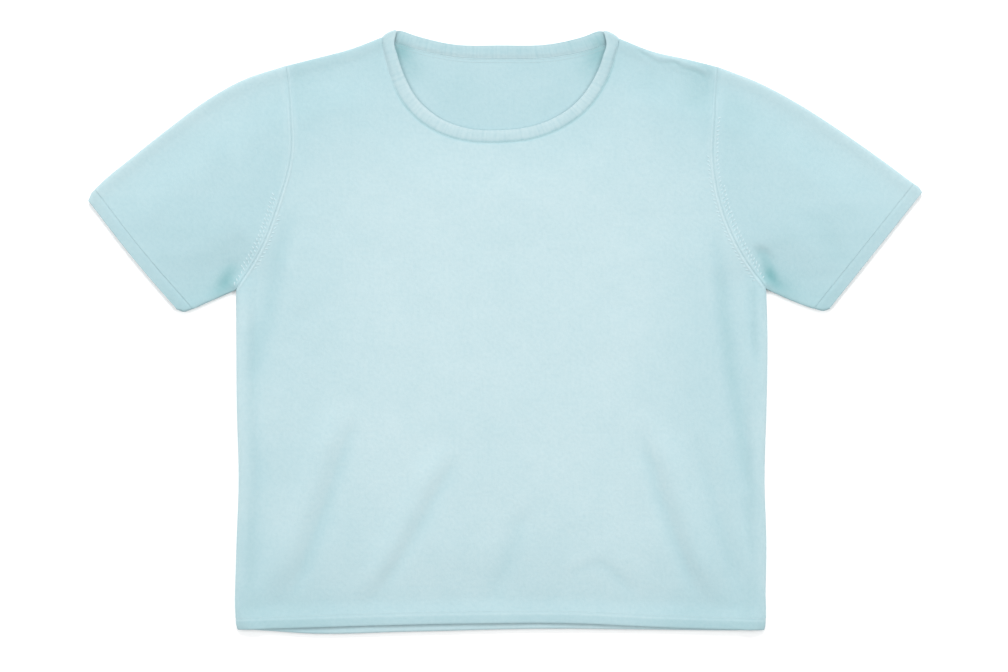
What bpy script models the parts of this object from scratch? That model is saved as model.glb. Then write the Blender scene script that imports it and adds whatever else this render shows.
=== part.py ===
"""Short-sleeved fine-knit jumper, laid flat on its back.

Modelled in millimetres in its own frame and built in metres: +X is the wearer's left, +Y the
neck and +Z up. The middle of the outline is at x = y = 0, and the cloth rests on z = 0.

Each piece is a sheet: a grid laid over a patch of the plan, lifted to the height of its layer
and given its wall. The lower layer lies flat. The upper one lies on it, a little full, with
the folds of the FOLDS table. The two layers turn into each other along the folded edges.
"""

import math

import bmesh
import bpy
import numpy as np

# Walls and gaps, mm
WALL = 1.2
BAND_WALL = 1.8
SEAM_GAP = 0.52
UNDERARM_GAPS = [1.5, 1.3, 0.7]
NECK_TIP_GAP = 0.6
BAND_WIDTH = 9.5

# Heights of the cloth's middle, mm
UPPER_LEAST = {WALL: 2.15, BAND_WALL: 3.1}
LEAST_BLEND = 0.3
FOLD_MIDDLE = 2.4
FULLNESS = 2.2
SEAM_RIDGE = 0.7
SEAM_RIDGE_WIDTH = 2.5

# Outline of the laid garment, mm, as (x, y) through which a smooth curve runs.
# "right" is the wearer's right, at negative x.
SIDE_RIGHT = [
    (-253.0, -284.0),
    (-256.8, -270.0),
    (-257.0, -200.0),
    (-253.8, -125.0),
    (-255.2, -50.0),
    (-256.0, 39.9),
]
SIDE_LEFT = [
    (244.5, -285.0),
    (248.0, -272.0),
    (249.2, -200.0),
    (246.8, -125.0),
    (248.2, -50.0),
    (248.2, 40.5),
]
UNDERARM_RIGHT = [(-256.0, 39.9), (-281.7, 28.0), (-303.5, 19.0)]
UNDERARM_LEFT = [(248.2, 40.5), (276.9, 28.0), (303.2, 19.6)]
OVERARM_RIGHT = [
    (-207.1, 252.8),
    (-247.5, 239.4),
    (-281.7, 220.4),
    (-315.9, 195.2),
    (-350.1, 168.2),
    (-393.6, 130.6),
]
OVERARM_LEFT = [
    (202.4, 251.6),
    (242.7, 235.8),
    (276.9, 217.6),
    (311.1, 196.0),
    (345.3, 172.4),
    (393.8, 135.6),
]
SHOULDER_RIGHT = [(-207.1, 252.8), (-179.1, 259.8), (-144.9, 268.9), (-117.0, 279.6)]
SHOULDER_LEFT = [(202.4, 251.6), (174.3, 258.6), (140.1, 266.4), (109.4, 278.4)]
ARMHOLE_RIGHT = [
    (-256.0, 39.9),
    (-231.0, 80.0),
    (-213.5, 124.0),
    (-201.2, 172.0),
    (-201.5, 217.5),
    (-207.1, 252.8),
]
ARMHOLE_LEFT = [
    (248.2, 40.5),
    (221.0, 80.5),
    (203.0, 127.0),
    (197.0, 170.0),
    (197.6, 212.0),
    (202.4, 251.6),
]
CUFF_EDGE_RIGHT = [(-303.5, 19.0), (-353.3, 70.4), (-393.8, 130.0)]
CUFF_EDGE_LEFT = [(303.2, 19.6), (350.1, 76.4), (393.8, 135.6)]
HEM_EDGE_FRONT = [
    (-257.0, -281.6),
    (-150.0, -279.3),
    (-40.0, -276.7),
    (60.0, -276.3),
    (160.0, -280.6),
    (249.0, -283.8),
]
HEM_EDGE_BACK = [
    (-257.0, -282.4),
    (-185.0, -285.9),
    (-90.0, -284.2),
    (40.0, -281.4),
    (140.0, -282.2),
    (249.0, -284.2),
]

# Sections of the neckband: its seam (x, y), its free edge (x, y) and the height of its middle, mm
NECK_FRONT = [
    (-115.6, 270.5, -103.6, 275.0, 3.85),
    (-113.2, 259.0, -101.6, 262.5, 3.70),
    (-105.6, 235.0, -93.9, 240.5, 3.05),
    (-89.5, 209.0, -80.5, 218.5, 2.80),
    (-65.3, 190.6, -59.0, 201.6, 2.75),
    (-35.0, 181.2, -32.0, 192.8, 2.75),
    (-4.0, 180.0, -4.0, 191.6, 2.75),
    (27.5, 183.7, 24.0, 194.9, 2.75),
    (56.0, 194.6, 50.0, 204.6, 2.75),
    (80.0, 213.2, 70.8, 220.6, 2.80),
    (96.6, 238.0, 85.6, 242.0, 3.05),
    (105.2, 261.0, 93.6, 262.5, 3.70),
    (107.6, 271.5, 95.6, 274.6, 3.85),
]
NECK_BACK = [
    (-104.5, 275.6, -97.0, 284.4, 0.90),
    (-88.0, 270.2, -84.5, 280.8, 0.90),
    (-50.2, 261.8, -49.0, 273.4, 0.90),
    (-4.0, 259.8, -4.0, 272.2, 0.90),
    (48.4, 261.5, 44.5, 274.2, 0.90),
    (84.0, 269.2, 77.0, 280.8, 0.90),
    (98.0, 274.3, 88.6, 284.0, 0.90),
]
NECK_TIP_RIGHT = (-116.4, 279.6, -104.4, 286.0)
NECK_TIP_LEFT = (109.0, 278.6, 93.0, 286.0)
NECK_TIP_FOOT = 225.0
NECK_TIP_TOP = 258.0
NECK_FOLD_RADIUS = 1.5
NECK_FOLD_SECTIONS = 7
NECK_CHORDS_FRONT = 20
NECK_CHORDS_BACK = 12
NECK_ACROSS = 4

# Folds of the upper layer. Each runs from top to foot, bowed sideways at its middle:
# heights are positive on ridges and negative in valleys. All in mm.
FOLD_COLUMNS = ("top_x", "top_y", "foot_x", "foot_y", "bow", "half_width", "height")
FOLDS = [
    # side seam on the wearer's right
    (-209.0, 125.0, -243.0, -95.0, 7.0, 10.0, -2.2),
    (-218.0, -80.0, -244.0, -262.0, -5.0, 9.0, -1.7),
    (-196.0, 95.0, -203.0, 0.0, 3.0, 9.0, 1.2),
    (-229.0, 62.0, -248.0, -10.0, 0.0, 6.0, 1.5),
    # slanting folds from the body to the hem, right to left
    (-172.0, -75.0, -231.0, -262.0, 1.0, 11.0, 1.6),
    (-143.0, -40.0, -210.0, -262.0, 8.0, 9.0, -1.6),
    (-86.0, -120.0, -136.0, -260.0, 2.0, 12.0, 1.4),
    (-53.0, -110.0, -124.0, -262.0, 6.0, 9.0, -1.6),
    (20.0, -160.0, -14.0, -262.0, 3.0, 9.0, -0.9),
    (136.0, -100.0, 203.0, -268.0, -4.0, 9.0, -2.0),
    (158.0, -40.0, 224.0, -265.0, -10.0, 10.0, 1.8),
    (196.0, -105.0, 240.0, -262.0, -4.0, 7.0, -1.5),
    (207.0, -75.0, 236.0, -225.0, -3.0, 7.0, 1.2),
    (84.0, -205.0, 126.0, -252.0, 0.0, 7.0, -0.8),
    (112.0, -208.0, 142.0, -246.0, 0.0, 8.0, 0.7),
    # side seam on the wearer's left
    (204.0, 120.0, 237.0, -65.0, -8.0, 10.0, -2.3),
    (191.0, 95.0, 193.0, 10.0, 0.0, 9.0, 1.2),
    (227.0, 60.0, 242.0, -10.0, 0.0, 6.0, 1.6),
    (222.0, -35.0, 241.0, -200.0, 0.0, 7.0, -1.4),
    # sleeves: hollow at each underarm, and one soft fold on each
    (-250.0, 92.0, -288.0, 26.0, 0.0, 10.0, -2.6),
    (-251.0, 185.0, -251.0, 80.0, -3.0, 11.0, 0.9),
    (247.0, 95.0, 282.0, 26.0, 0.0, 10.0, -2.6),
    (292.0, 118.0, 324.0, 60.0, 0.0, 10.0, -1.1),
]

# Folded edges: distance in from the edge and height of the cloth's middle, mm
UPPER_PROFILE = [
    (0.0, 2.78),
    (0.05, 3.0),
    (0.5, 3.75),
    (1.5, 4.2),
    (3.5, 4.25),
    (7.0, 3.6),
    (11.0, 2.8),
    (16.0, 2.35),
]
# and distance in from the edge and share of the rise from the flat to the edge's height
LOWER_RISE = [(0.0, 1.0), (0.05, 0.8), (0.5, 0.28), (1.5, 0.04), (2.5, 0.0)]
LOWER_EDGE_HEIGHT = 1.98
FOLD_FADE = 0.25

# Grid lines: distances in from a folded edge, mm, and how many spans there are between them
FOLD_STEPS = {
    "upper": [distance for distance, _ in UPPER_PROFILE],
    "lower": [distance for distance, _ in LOWER_RISE],
}
SHOULDER_COLUMNS = {"upper": 6, "lower": 3}
SIDE_ROWS = {"upper": 13, "lower": 6}
ARMHOLE_CHORDS = 10
SLEEVE_LENGTHWISE = (0.0, 0.012, 0.03, 0.07, 0.14, 0.25, 0.38, 0.5, 0.62, 0.75, 0.88, 1.0)
CUFF_LENGTHWISE = (0.0, 0.5, 1.0)
HEM_ROWS = (0.0, 0.5, 1.0)

# Nominal sizes that turn those distances into shares of a patch
BODY_WIDTH = 504
BODY_LENGTH = 530
SLEEVE_DEPTH = 170
UNDERARM_SHARE = 0.58
NECK_SHARE = 0.225

MM = 0.001
END_REACH = 4.0
SHORTEST_END = 0.3
WELD_DISTANCE = 1e-7
CLOTH_COLOUR = (0.60, 0.78, 0.82)
BAND_SHADE = 0.94
CLOTH_ROUGHNESS = 0.9


def spline(points, steps=16):
    """A smooth curve through points that may be unevenly spaced, as a dense polyline."""
    known = np.array(points, float)
    gaps = np.hypot(*np.diff(known[:, :2], axis=0).T)[:, None]
    slopes = np.diff(known, axis=0) / gaps
    inner = (slopes[:-1] * gaps[1:] + slopes[1:] * gaps[:-1]) / (gaps[:-1] + gaps[1:])
    tangents = np.vstack([slopes[:1], inner, slopes[-1:]])
    t = np.linspace(0, 1, steps, endpoint=False)[:, None]
    parts = []
    for start, end, leave, arrive, gap in zip(known, known[1:], tangents, tangents[1:], gaps):
        ends = (1 + 2 * t) * (1 - t) ** 2 * start + t**2 * (3 - 2 * t) * end
        parts.append(ends + gap * (t * (1 - t) ** 2 * leave - t**2 * (1 - t) * arrive))
    return np.vstack(parts + [known[-1:]])


def travelled(path):
    return np.concatenate([[0.0], np.cumsum(np.hypot(*np.diff(path[:, :2], axis=0).T))])


def along(path, fraction):
    """The points at these fractions of a polyline's length."""
    lengths = travelled(path)
    wanted = np.asarray(fraction, float) * lengths[-1]
    return np.stack([np.interp(wanted, lengths, column) for column in path.T], axis=-1)


def corners(path, fraction):
    """The same, with every stretch between two corners counted as equally long."""
    wanted = np.asarray(fraction, float) * (len(path) - 1)
    return np.stack([np.interp(wanted, range(len(path)), column) for column in path.T], axis=-1)


def chords(points, count):
    """A smooth curve as this many equal chords, so that both pieces of a seam share its corners."""
    return along(spline(points), np.linspace(0, 1, count + 1))


def shifted(path, distance):
    """A polyline moved sideways: to the left of its direction for a positive distance."""
    direction = np.gradient(path, axis=0)
    direction /= np.hypot(*direction.T)[:, None]
    return path + distance * np.stack([-direction[:, 1], direction[:, 0]], axis=-1)


def extended(path):
    """A polyline made a little longer at both ends, so that it crosses its neighbours."""
    first, last = path[0] - path[1], path[-1] - path[-2]
    start = path[0] + END_REACH * first / np.hypot(*first)
    end = path[-1] + END_REACH * last / np.hypot(*last)
    return np.vstack([start, path, end])


def crossing(first, second):
    """How far along each of two polylines they cross."""
    run_a, run_b = np.diff(first, axis=0)[:, None], np.diff(second, axis=0)[None]
    offset = second[None, :-1] - first[:-1, None]
    turn = run_a[..., 0] * run_b[..., 1] - run_a[..., 1] * run_b[..., 0]
    turn = np.where(np.abs(turn) < 1e-12, 1e-12, turn)
    share_a = (offset[..., 0] * run_b[..., 1] - offset[..., 1] * run_b[..., 0]) / turn
    share_b = (offset[..., 0] * run_a[..., 1] - offset[..., 1] * run_a[..., 0]) / turn
    meet = (share_a >= 0) & (share_a <= 1) & (share_b >= 0) & (share_b <= 1)
    i, j = np.argwhere(meet)[0]
    at_a = travelled(first)[i] + share_a[i, j] * np.hypot(*run_a[i, 0])
    at_b = travelled(second)[j] + share_b[i, j] * np.hypot(*run_b[0, j])
    return at_a, at_b


def trimmed_loop(*curves):
    """Curves that follow each other round a patch, each cut where it crosses its neighbours."""
    curves = [extended(curve) for curve in curves]
    meets = [crossing(a, b) for a, b in zip(curves, curves[1:] + curves[:1])]
    pieces = []
    for k, curve in enumerate(curves):
        start, end = meets[k - 1][1], meets[k][0]
        lengths = travelled(curve)
        inside = curve[(lengths > start + SHORTEST_END) & (lengths < end - SHORTEST_END)]
        ends = along(curve, np.array([start, end]) / lengths[-1])
        pieces.append(np.vstack([ends[:1], inside, ends[1:]]))
    return pieces


def side(*pieces, shares=()):
    """One side of a patch as a function of 0 to 1: pieces, each with its rule, that meet at these shares."""
    knots = [0.0, *shares, 1.0]

    def at(fraction):
        fraction = np.asarray(fraction, float)
        result = None
        for (rule, piece), start, end in zip(pieces, knots, knots[1:]):
            points = rule(piece, np.clip((fraction - start) / (end - start), 0, 1))
            result = points if result is None else np.where((fraction > start)[..., None], points, result)
        return result

    return at


def patch(low, high, first, last, u, v):
    """Plan points at the grid parameters u and v, between four sides that meet at the corners."""
    across, up = u[..., None], v[..., None]
    ruled = (1 - up) * low(u) + up * high(u) + (1 - across) * first(v) + across * last(v)
    foot = (1 - across) * low(0.0) + across * low(1.0)
    head = (1 - across) * high(0.0) + across * high(1.0)
    return ruled - (1 - up) * foot - up * head


def smooth(t):
    t = np.clip(t, 0, 1)
    return t * t * (3 - 2 * t)


def distance_to(points, paths):
    """Distance in plan from each point to the nearest of these polylines."""
    flat = points.reshape(-1, 2)
    nearest = np.full(len(flat), np.inf)
    for path in paths:
        run = np.diff(path, axis=0)
        offset = flat[:, None, :] - path[None, :-1]
        share = np.clip((offset * run).sum(-1) / (run * run).sum(-1), 0, 1)
        gap = np.hypot(*np.moveaxis(offset - share[..., None] * run, -1, 0))
        nearest = np.minimum(nearest, gap.min(axis=1))
    return nearest.reshape(points.shape[:-1])


def folded_edges(wall):
    """The folded edges of the outline, moved half a wall inwards to the cloth's middle."""
    half = wall / 2
    return {
        "side_right": shifted(spline(SIDE_RIGHT), -half),
        "side_left": shifted(spline(SIDE_LEFT), half),
        "underarm_right": shifted(spline(UNDERARM_RIGHT), -half),
        "underarm_left": shifted(spline(UNDERARM_LEFT), half),
        "overarm_right": shifted(spline(OVERARM_RIGHT), half),
        "overarm_left": shifted(spline(OVERARM_LEFT), -half),
        "shoulder_right": shifted(spline(SHOULDER_RIGHT), -half),
        "shoulder_left": shifted(spline(SHOULDER_LEFT), half),
    }


def neck_fold(tip):
    """Sections of the neckband where it folds over at a neck point, from the upper layer down."""
    seam, edge = np.array(tip[:2]), np.array(tip[2:])
    out = np.array([-(edge - seam)[1], (edge - seam)[0]]) / np.hypot(*(edge - seam))
    out *= math.copysign(1, out[1])
    sections = []
    for turn in np.linspace(0, math.pi, NECK_FOLD_SECTIONS):
        reach = NECK_FOLD_RADIUS * (math.sin(turn) - 1) - BAND_WALL / 2
        height = FOLD_MIDDLE + NECK_FOLD_RADIUS * math.cos(turn)
        sections.append([*(seam + reach * out), *(edge + reach * out), height])
    return sections


EDGES = {WALL: folded_edges(WALL), BAND_WALL: folded_edges(BAND_WALL)}
ARMHOLE_GAPS = np.full((ARMHOLE_CHORDS + 1, 1), SEAM_GAP / 2)
ARMHOLE_GAPS[: len(UNDERARM_GAPS), 0] = np.array(UNDERARM_GAPS) / 2
ARMHOLES = {"right": chords(ARMHOLE_RIGHT, ARMHOLE_CHORDS), "left": chords(ARMHOLE_LEFT, ARMHOLE_CHORDS)}
CUFF_EDGES = {"right": spline(CUFF_EDGE_RIGHT), "left": spline(CUFF_EDGE_LEFT)}
NECK_FOLD_RIGHT = neck_fold(NECK_TIP_RIGHT)
NECK_FOLD_LEFT = neck_fold(NECK_TIP_LEFT)
NECKBAND_FRONT = chords([NECK_FOLD_RIGHT[0], *NECK_FRONT, NECK_FOLD_LEFT[0]], NECK_CHORDS_FRONT)
NECKBAND_BACK = chords([NECK_FOLD_RIGHT[-1], *NECK_BACK, NECK_FOLD_LEFT[-1]], NECK_CHORDS_BACK)
NECK_SEAM_FRONT = np.vstack([NECK_TIP_RIGHT[:2], NECKBAND_FRONT[:, :2], NECK_TIP_LEFT[:2]])
NECK_SEAM_BACK = np.vstack([NECK_TIP_RIGHT[:2], NECKBAND_BACK[:, :2], NECK_TIP_LEFT[:2]])


def fold_relief(points):
    """Height that the folds add at these plan points."""
    x, y = points[..., 0], points[..., 1]
    total = np.zeros(x.shape)
    for row in FOLDS:
        fold = dict(zip(FOLD_COLUMNS, row))
        drop = fold["top_y"] - fold["foot_y"]
        drift = fold["foot_x"] - fold["top_x"]
        share = (fold["top_y"] - y) / drop
        bow = fold["bow"] * np.clip(4 * share * (1 - share), 0, None)
        middle = fold["top_x"] + drift * share + bow
        lean = math.hypot(drop, drift) / drop
        across = (x - middle) / (lean * fold["half_width"])
        ends = smooth(share / FOLD_FADE) * smooth((1 - share) / FOLD_FADE)
        total += fold["height"] * ends * np.exp(-(across**2))
    return total


def upper_height(points, wall=WALL):
    """Height of the middle of the upper layer."""
    depth = distance_to(points, EDGES[wall].values())
    neck = distance_to(points, [NECK_SEAM_FRONT])
    hem = points[..., 1] - np.interp(points[..., 0], *spline(HEM_EDGE_FRONT).T)
    full = smooth((depth - 10) / 34) * (0.35 + 0.65 * smooth(neck / 60)) * (0.25 + 0.75 * smooth(hem / 80))
    relief = fold_relief(points) * smooth((depth - 3) / 14) * (0.4 + 0.6 * smooth((hem - 9) / 14))
    height = np.interp(depth, *zip(*UPPER_PROFILE)) + FULLNESS * full + relief
    seam = distance_to(points, ARMHOLES.values()) / SEAM_RIDGE_WIDTH
    height += SEAM_RIDGE * np.exp(-(seam**2)) * smooth((depth - 2) / 8)
    least = UPPER_LEAST[wall]
    soft = least + LEAST_BLEND * np.log1p(np.exp((height - least) / LEAST_BLEND))
    return np.where(depth < UPPER_PROFILE[2][0], height, soft)


def lower_height(points, wall=WALL):
    """Height of the middle of the lower layer, flat but for its folded edges."""
    depth = distance_to(points, EDGES[wall].values())
    rise = np.interp(depth, *zip(*LOWER_RISE))
    return wall / 2 + (LOWER_EDGE_HEIGHT - wall / 2) * rise


def cloth(name, points, wall, closed=False):
    """A sheet through rows of points, given its wall. A closed one joins its last row to its first."""
    rows, columns = points.shape[:2]
    bm = bmesh.new()
    bmesh.ops.create_grid(bm, x_segments=rows - 1 + closed, y_segments=columns - 1, size=0.5)
    order = sorted(bm.verts, key=lambda vert: (round(vert.co.x, 5), round(vert.co.y, 5)))
    for index, vert in enumerate(order):
        row, column = divmod(index, columns)
        vert.co = [float(value) * MM for value in points[row % rows, column]]
    if closed:
        bmesh.ops.remove_doubles(bm, verts=bm.verts, dist=WELD_DISTANCE)
    mesh = bpy.data.meshes.new(name)
    bm.to_mesh(mesh)
    bm.free()
    mesh.shade_smooth()
    mesh.materials.append(fabric(name))
    piece = bpy.data.objects.new(name, mesh)
    JUMPER.objects.link(piece)
    solid = piece.modifiers.new("Wall", "SOLIDIFY")
    solid.thickness = wall * MM
    solid.offset = 0
    return piece


def fabric(name):
    """Pale knitted fabric; a band's two layers look a little deeper than a single one."""
    shade = BAND_SHADE if name.startswith(("hem", "cuff", "neck")) else 1.0
    material = bpy.data.materials.new(name)
    material.use_nodes = True
    surface = material.node_tree.nodes["Principled BSDF"]
    surface.inputs["Base Color"].default_value = [shade * part for part in CLOTH_COLOUR] + [1]
    surface.inputs["Roughness"].default_value = CLOTH_ROUGHNESS
    surface.inputs["Metallic"].default_value = 0
    return material


def column_lines(layer, neck_seam):
    """Grid lines across the body: close at the sides, even to the neck, then one at each neck corner."""
    near = np.array(FOLD_STEPS[layer]) / BODY_WIDTH
    shoulder = np.linspace(near[-1], NECK_SHARE, SHOULDER_COLUMNS[layer] + 1)
    half = np.concatenate([near[:-1], shoulder])
    middle = np.linspace(NECK_SHARE, 1 - NECK_SHARE, len(neck_seam))[1:-1]
    return np.concatenate([half, middle, 1 - half[::-1]])


def row_lines(layer):
    """Grid lines up the body: even to the underarm, one at each armhole corner, close at the shoulder."""
    below = np.linspace(0, UNDERARM_SHARE, SIDE_ROWS[layer] + 1)
    armhole = UNDERARM_SHARE + (1 - UNDERARM_SHARE) * np.arange(1, ARMHOLE_CHORDS) / ARMHOLE_CHORDS
    return np.concatenate([below, armhole, 1 - np.array(FOLD_STEPS[layer])[::-1] / BODY_LENGTH])


def round_lines(steps):
    """Grid lines across one layer of a sleeve: close at both folded edges, one at each seam corner."""
    near = np.array(steps) / SLEEVE_DEPTH
    even = np.arange(1, ARMHOLE_CHORDS) / ARMHOLE_CHORDS
    return np.concatenate([near, even, 1 - near[::-1]])


def lifted(plan, height):
    return np.concatenate([plan, height[..., None]], axis=-1)


def body_panel(name, layer, hem_edge, neck_seam, height):
    """The front or the back, from the hem band's seam to the shoulders and the neck."""
    gap = SEAM_GAP / 2
    edges = EDGES[WALL]
    loop = trimmed_loop(
        shifted(spline(hem_edge), BAND_WIDTH + gap),
        edges["side_left"],
        shifted(ARMHOLES["left"], ARMHOLE_GAPS),
        edges["shoulder_left"],
        shifted(neck_seam, -gap)[::-1],
        edges["shoulder_right"][::-1],
        shifted(ARMHOLES["right"], -ARMHOLE_GAPS)[::-1],
        edges["side_right"][::-1],
    )
    hem, side_left, armhole_left, shoulder_left, neck, shoulder_right, armhole_right, side_right = loop
    last = side((along, side_left), (corners, armhole_left), shares=[UNDERARM_SHARE])
    first = side((along, side_right[::-1]), (corners, armhole_right[::-1]), shares=[UNDERARM_SHARE])
    high = side(
        (along, shoulder_right[::-1]),
        (corners, neck[::-1]),
        (along, shoulder_left[::-1]),
        shares=[NECK_SHARE, 1 - NECK_SHARE],
    )
    columns = column_lines(layer, neck_seam)
    v, u = np.meshgrid(row_lines(layer), columns, indexing="ij")
    plan = patch(side((along, hem)), high, first, last, u, v)
    return cloth(name, lifted(plan, height(plan)), WALL)


def flat_tube(name, wall, start, end, hand, lengthwise):
    """A tube laid flat between two curves that cross the arm, from the underarm to the top fold."""
    edges = EDGES[wall]
    under, over = edges["underarm_" + hand], edges["overarm_" + hand]
    start, over, end, under = trimmed_loop(start, over, end[::-1], under[::-1])
    lower = round_lines(FOLD_STEPS["lower"][1:])
    upper = round_lines(FOLD_STEPS["upper"][1:-1])[::-1]
    u, v = np.meshgrid(np.concatenate([[0.0], lower, [1.0], upper]), lengthwise, indexing="ij")
    first, last = side((corners, start)), side((along, end[::-1]))
    plan = patch(first, last, side((along, under[::-1])), side((along, over)), u, v)
    height = upper_height(plan, wall)
    height[1 : 1 + len(lower)] = lower_height(plan, wall)[1 : 1 + len(lower)]
    height[[0, 1 + len(lower)]] = FOLD_MIDDLE
    return cloth(name, lifted(plan, height), wall, closed=True)


def sleeve_and_cuff(hand):
    turn = 1 if hand == "right" else -1
    gap = SEAM_GAP / 2
    edge = CUFF_EDGES[hand]
    armhole = shifted(ARMHOLES[hand], turn * ARMHOLE_GAPS)
    sleeve_end = shifted(edge, -turn * (BAND_WIDTH + gap))
    cuff_start = shifted(edge, -turn * (BAND_WIDTH - gap))
    flat_tube("sleeve_" + hand, WALL, armhole, sleeve_end, hand, SLEEVE_LENGTHWISE)
    flat_tube("cuff_" + hand, BAND_WALL, cuff_start, edge, hand, CUFF_LENGTHWISE)


def hem_band(name, layer, hem_edge, neck_seam, height):
    edges = EDGES[BAND_WALL]
    edge = spline(hem_edge)
    seam = shifted(edge, BAND_WIDTH - SEAM_GAP / 2)
    edge, side_left, seam, side_right = trimmed_loop(
        edge, edges["side_left"], seam[::-1], edges["side_right"][::-1]
    )
    v, u = np.meshgrid(HEM_ROWS, column_lines(layer, neck_seam), indexing="ij")
    low, high = side((along, edge)), side((along, seam[::-1]))
    plan = patch(low, high, side((along, side_right[::-1])), side((along, side_left)), u, v)
    return cloth(name, lifted(plan, height(plan, BAND_WALL)), BAND_WALL)


def neckband():
    """One ring: over the front, folded down at a neck point, along the back, and up again."""
    down, up = NECK_FOLD_LEFT[1:-1], NECK_FOLD_RIGHT[-2:0:-1]
    sections = np.vstack([NECKBAND_FRONT, down, NECKBAND_BACK[::-1], up])
    seam, edge, height = sections[:, :2], sections[:, 2:4], sections[:, 4:]
    width = np.hypot(*(edge - seam).T)[:, None]
    tip = smooth((seam[:, 1:] - NECK_TIP_FOOT) / (NECK_TIP_TOP - NECK_TIP_FOOT))
    seam = seam + (edge - seam) * (SEAM_GAP / 2 + NECK_TIP_GAP * tip) / width
    share = np.linspace(0, 1, NECK_ACROSS)[:, None, None]
    plan = seam + share * (edge - seam)
    points = np.concatenate([plan, np.broadcast_to(height, plan.shape[:2] + (1,))], axis=-1)
    return cloth("neckband", np.swapaxes(points, 0, 1), BAND_WALL, closed=True)


for old in list(bpy.data.objects):
    bpy.data.objects.remove(old)
JUMPER = bpy.data.collections.new("knit_jumper")
bpy.context.scene.collection.children.link(JUMPER)

body_panel("front", "upper", HEM_EDGE_FRONT, NECK_SEAM_FRONT, upper_height)
body_panel("back", "lower", HEM_EDGE_BACK, NECK_SEAM_BACK, lower_height)
for wearers_hand in ("right", "left"):
    sleeve_and_cuff(wearers_hand)
hem_band("hem_front", "upper", HEM_EDGE_FRONT, NECK_SEAM_FRONT, upper_height)
hem_band("hem_back", "lower", HEM_EDGE_BACK, NECK_SEAM_BACK, lower_height)
neckband()
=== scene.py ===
import functools
import math

import bpy
import numpy as np
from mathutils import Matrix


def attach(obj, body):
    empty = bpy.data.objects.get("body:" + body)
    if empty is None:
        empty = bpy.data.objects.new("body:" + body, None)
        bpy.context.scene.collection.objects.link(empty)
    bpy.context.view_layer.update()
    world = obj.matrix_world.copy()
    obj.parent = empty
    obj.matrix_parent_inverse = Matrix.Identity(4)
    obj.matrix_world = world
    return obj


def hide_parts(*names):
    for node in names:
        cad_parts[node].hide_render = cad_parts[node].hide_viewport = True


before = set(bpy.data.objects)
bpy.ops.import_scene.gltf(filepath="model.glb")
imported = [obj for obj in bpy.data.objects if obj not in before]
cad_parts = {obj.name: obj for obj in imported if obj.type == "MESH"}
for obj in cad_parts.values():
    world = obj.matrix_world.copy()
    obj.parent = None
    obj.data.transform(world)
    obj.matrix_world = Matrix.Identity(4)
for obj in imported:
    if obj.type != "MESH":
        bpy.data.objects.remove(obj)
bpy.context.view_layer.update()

mm = 0.001
root = "root"
print("Frame loaded:", ", ".join(sorted(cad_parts)))

# The laid garment from above, in mm. x runs to the wearer's left, y to the neck.
# Right is the wearer's right, on the left of the picture.

outline = {
    "sideRight": [
        (-251.8, -286), (-254.3, -280.5), (-255.3, -271), (-254.9, -216),
        (-252.4, -140), (-254.2, -65), (-254.6, 0), (-254.8, 39.9),
    ],
    "sideLeft": [
        (245.2, -286.5), (247.4, -280.8), (248.2, -272), (247.9, -250), (248.6, -205),
        (246.9, -140), (249, -60), (249.6, 0), (248.4, 40.5),
    ],
    "underarmRight": [(-254.8, 39.9), (-281.7, 28), (-299, 20.6), (-304.5, 19), (-309, 20.6)],
    "underarmLeft": [(248.4, 40.5), (276.9, 28), (297.5, 21), (303, 19.9), (307.2, 21.4)],
    "overarmRight": [
        (-207.1, 252.8), (-247.5, 239.4), (-281.7, 220.4), (-315.9, 195.2),
        (-350.1, 168.2), (-386, 138.2), (-392, 131.8), (-394.4, 126.2),
    ],
    "overarmLeft": [
        (202.4, 251.6), (242.7, 235.8), (276.9, 217.6), (311.1, 196),
        (345.3, 172.4), (386.5, 142.2), (393.8, 136.8), (396.4, 132.6),
    ],
    "shoulderRight": [(-207.1, 252.8), (-179.1, 259.8), (-144.9, 268.9), (-117, 279.6)],
    "shoulderLeft": [(202.4, 251.6), (174.3, 258.6), (140.1, 266.4), (109.4, 278.4)],
}

seams = {
    "armholeRight": [
        (-254.8, 39.9), (-230, 80), (-213.5, 124), (-202.3, 168), (-203.2, 208), (-207.1, 252.8),
    ],
    "armholeLeft": [
        (248.4, 40.5), (222.4, 78), (203, 127), (197.5, 166), (199.5, 206), (202.4, 251.6),
    ],
    "cuffRight": [(-307.6, 18), (-332.6, 46.4), (-356.7, 75.3), (-395, 124.7)],
    "cuffLeft": [(305.4, 18.6), (345.1, 68.2), (396.5, 132.7)],
    "hemFront": [
        (-257, -282.5), (-230, -281.8), (-150, -279.3), (-40, -276.7),
        (60, -276.3), (160, -280.6), (220, -282.3), (249, -282.8),
    ],
    "hemBack": [
        (-257, -281.9), (-232, -282.9), (-185, -285.9), (-90, -284.2),
        (40, -281.4), (140, -282.2), (220, -282.9), (249, -282.6),
    ],
    "gap": 0.06,
    "hemWidth": 11.2,
    "cuffWidth": 11.6,
}

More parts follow.
